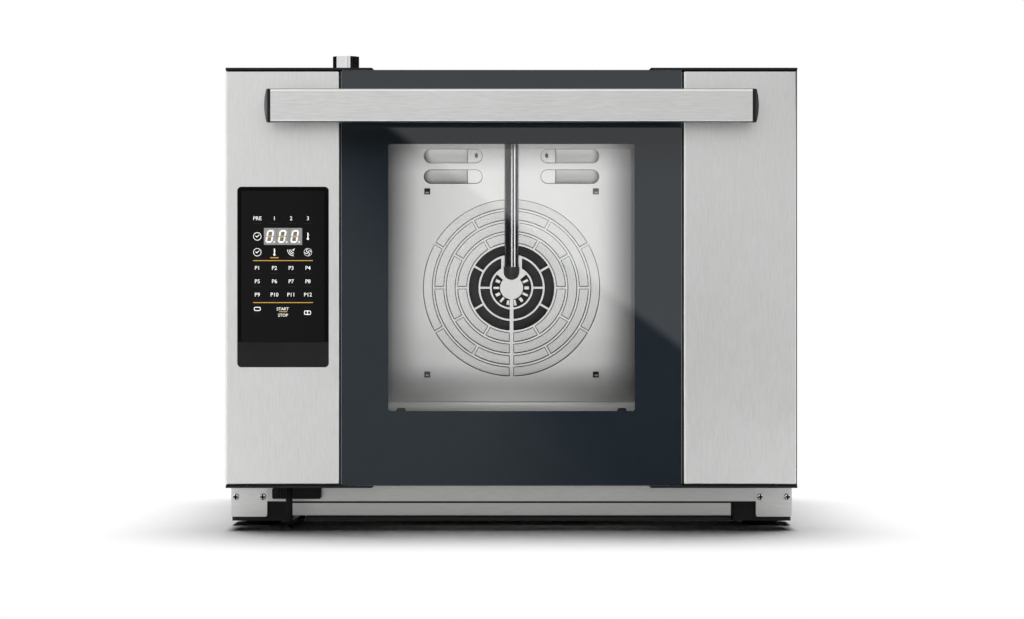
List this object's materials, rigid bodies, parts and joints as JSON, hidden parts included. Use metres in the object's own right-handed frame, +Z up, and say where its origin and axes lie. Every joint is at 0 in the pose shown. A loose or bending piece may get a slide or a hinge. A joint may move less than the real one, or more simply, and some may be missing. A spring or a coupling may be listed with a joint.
{
  "type": "countertop convection oven",
  "caption": "Countertop stainless convection oven with a full-width drop-down glass door, bar handle, touch control panel, fan-circulated cavity with tray racks, and vent chimney.",
  "frame": {"origin": "on the worktop under the middle of the oven's overall box", "axes": "+Z up, +Y to the back, so the door faces -Y, and +X to the right seen from the front"},
  "size_m": [0.6, 0.669, 0.5203],
  "materials": {
    "casing_steel": "brushed stainless sheet",
    "door_steel": "brushed stainless sheet, upright grain",
    "liner_steel": "smooth stainless sheet",
    "wire_steel": "polished stainless wire",
    "fixing_steel": "plain steel",
    "handle_steel": "brushed stainless tube, lengthwise grain",
    "polished_steel": "polished tube",
    "dark_steel": "dark satin coating",
    "nozzle_metal": "dark metal",
    "alloy": "cast, plain",
    "brass": "plain",
    "copper_tube": "plain copper tube",
    "element_metal": "dull oxidised sheath",
    "door_glass": "toughened, dark printed border",
    "clear_glass": "toughened, clear",
    "touch_glass": "black, glossy",
    "display_face": "grey filter window",
    "black_plastic": "fine texture",
    "light_plastic": "diffusing",
    "board": "lacquered circuit board",
    "seal_rubber": "silicone",
    "foot_rubber": "matt rubber",
    "wool": "mineral wool"
  },
  "bodies": {
    "body": {"base_plate": "casing_steel", "base_skirt": "casing_steel", "cable_block": "black_plastic", "cable_gland": "black_plastic", "cable_grommet": "seal_rubber", "casing_screws": "fixing_steel", "cavity_rear_wall": "liner_steel", "cavity_shell": "liner_steel", "chimney": "polished_steel", "corner_feet": "black_plastic", "door_cable": "seal_rubber", "door_gasket": "seal_rubber", "fan_guard": "liner_steel", "foot_pads": "foot_rubber", "front_fascia": "casing_steel", "front_frame": "casing_steel", "guard_fasteners": "fixing_steel", "guard_posts": "fixing_steel", "guard_stiffener": "liner_steel", "heating_element": "element_metal", "hinge_arms": "fixing_steel", "hinge_bushes": "brass", "insulation_blanket": "wool", "motor_bearings": "fixing_steel", "motor_housing": "alloy", "motor_plate": "liner_steel", "power_board": "board", "rear_panel": "casing_steel", "side_panel_left": "casing_steel", "side_panel_right": "casing_steel", "steam_nozzle": "nozzle_metal", "steam_pipe": "polished_steel", "temperature_probe": "fixing_steel", "top_panel": "casing_steel", "tray_racks": "wire_steel", "water_tube": "copper_tube", "water_valve": "brass"},
    "door": {"outer_glass": "door_glass", "inner_glass": "clear_glass", "glass_clips": "black_plastic", "door_inner_panel": "door_steel", "door_frames": "dark_steel", "door_skin_left": "door_steel", "door_skin_right": "door_steel", "door_caps": "dark_steel", "glass_rails": "fixing_steel", "light_bars": "light_plastic", "control_bezel": "black_plastic", "control_glass": "touch_glass", "control_board": "board", "display_module": "display_face", "handle_bar": "handle_steel", "handle_caps": "black_plastic", "handle_posts": "black_plastic", "hinge_pins": "fixing_steel", "hinge_brackets": "fixing_steel", "hinge_springs": "fixing_steel"},
    "fan": {"fan_wheel": "wire_steel", "fan_nut": "fixing_steel", "motor_shaft": "fixing_steel"}
  },
  "joints": [
    {"name": "door_hinge", "type": "hinge", "parent": "body", "child": "door", "pos_m": [0, -0.2665, 0.072], "axis": [1, 0, 0], "range_deg": [0, 90], "stiffness_Nm_per_rad": 10, "springref_deg": -22.92, "deforming": ["door_cable", "hinge_springs"]},
    {"name": "fan_spin", "type": "hinge", "parent": "body", "child": "fan", "pos_m": [0, 0.1875, 0.257], "axis": [0, 1, 0], "continuous": true}
  ]
}
